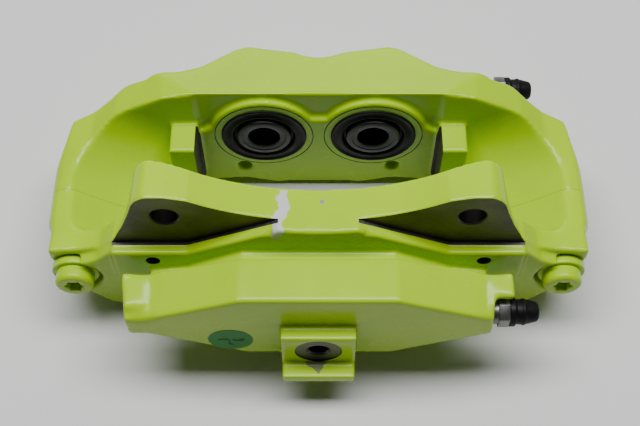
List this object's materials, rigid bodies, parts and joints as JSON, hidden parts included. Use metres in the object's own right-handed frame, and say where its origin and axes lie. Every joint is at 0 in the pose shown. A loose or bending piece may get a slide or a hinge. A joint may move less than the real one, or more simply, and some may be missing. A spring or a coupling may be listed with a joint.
{
  "type": "disc brake caliper",
  "caption": "Fixed two-piece disc brake caliper with opposed pistons, mounting ears, brake-line port and bleeder screws; it clamps pads on a disc.",
  "frame": {"origin": "middle of the resting side, under the centre of the overall box", "axes": "+X along the disc's edge towards the bleeder screws, +Y along the wheel axle towards the outboard half, +Z from the resting (radially outer) side towards the hub"},
  "size_m": [0.259, 0.157, 0.0978],
  "materials": {
    "caliper_paint": "gloss powder coat, acid green",
    "piston_alloy": "dark anodised",
    "rubber": "matte",
    "steel": "dull plated",
    "label": "printed paper"
  },
  "bodies": {
    "housing": {"outboard_housing": "caliper_paint", "inboard_housing": "caliper_paint", "bridge_bolts": "caliper_paint", "bridge_bolt_washers": "caliper_paint", "locating_sleeves": "steel", "crossover_seal": "rubber", "inspection_sticker": "label", "dust_boot_outboard_left": "rubber", "piston_seal_outboard_left": "rubber", "dust_boot_outboard_right": "rubber", "piston_seal_outboard_right": "rubber", "dust_boot_inboard_left": "rubber", "piston_seal_inboard_left": "rubber", "dust_boot_inboard_right": "rubber", "piston_seal_inboard_right": "rubber"},
    "piston_outboard_left": {"piston_outboard_left": "piston_alloy"},
    "piston_outboard_right": {"piston_outboard_right": "piston_alloy"},
    "bleeder_outboard": {"bleeder_screw_outboard": "steel"},
    "cap_outboard": {"bleeder_cap_outboard": "rubber"},
    "piston_inboard_left": {"piston_inboard_left": "piston_alloy"},
    "piston_inboard_right": {"piston_inboard_right": "piston_alloy"},
    "bleeder_inboard": {"bleeder_screw_inboard": "steel"},
    "cap_inboard": {"bleeder_cap_inboard": "rubber"}
  },
  "joints": [
    {"name": "piston_outboard_left_slide", "type": "slide", "parent": "housing", "child": "piston_outboard_left", "axis": [0, -1, 0], "range_m": [0, 0.012], "deforming": ["dust_boot_outboard_left"]},
    {"name": "piston_outboard_right_slide", "type": "slide", "parent": "housing", "child": "piston_outboard_right", "axis": [0, -1, 0], "range_m": [0, 0.012], "deforming": ["dust_boot_outboard_right"]},
    {"name": "bleeder_outboard_turn", "type": "hinge", "parent": "housing", "child": "bleeder_outboard", "pos_m": [0.0865, 0.0685, 0.0447], "axis": [1, 0, 0], "range_deg": [0, 180]},
    {"name": "cap_outboard_pull", "type": "slide", "parent": "bleeder_outboard", "child": "cap_outboard", "axis": [1, 0, 0], "range_m": [0, 0.02]},
    {"name": "piston_inboard_left_slide", "type": "slide", "parent": "housing", "child": "piston_inboard_left", "axis": [0, 1, 0], "range_m": [0, 0.012], "deforming": ["dust_boot_inboard_left"]},
    {"name": "piston_inboard_right_slide", "type": "slide", "parent": "housing", "child": "piston_inboard_right", "axis": [0, 1, 0], "range_m": [0, 0.012], "deforming": ["dust_boot_inboard_right"]},
    {"name": "bleeder_inboard_turn", "type": "hinge", "parent": "housing", "child": "bleeder_inboard", "pos_m": [0.078, -0.0555, 0.0447], "axis": [1, 0, 0], "range_deg": [0, 180]},
    {"name": "cap_inboard_pull", "type": "slide", "parent": "bleeder_inboard", "child": "cap_inboard", "axis": [1, 0, 0], "range_m": [0, 0.02]}
  ]
}
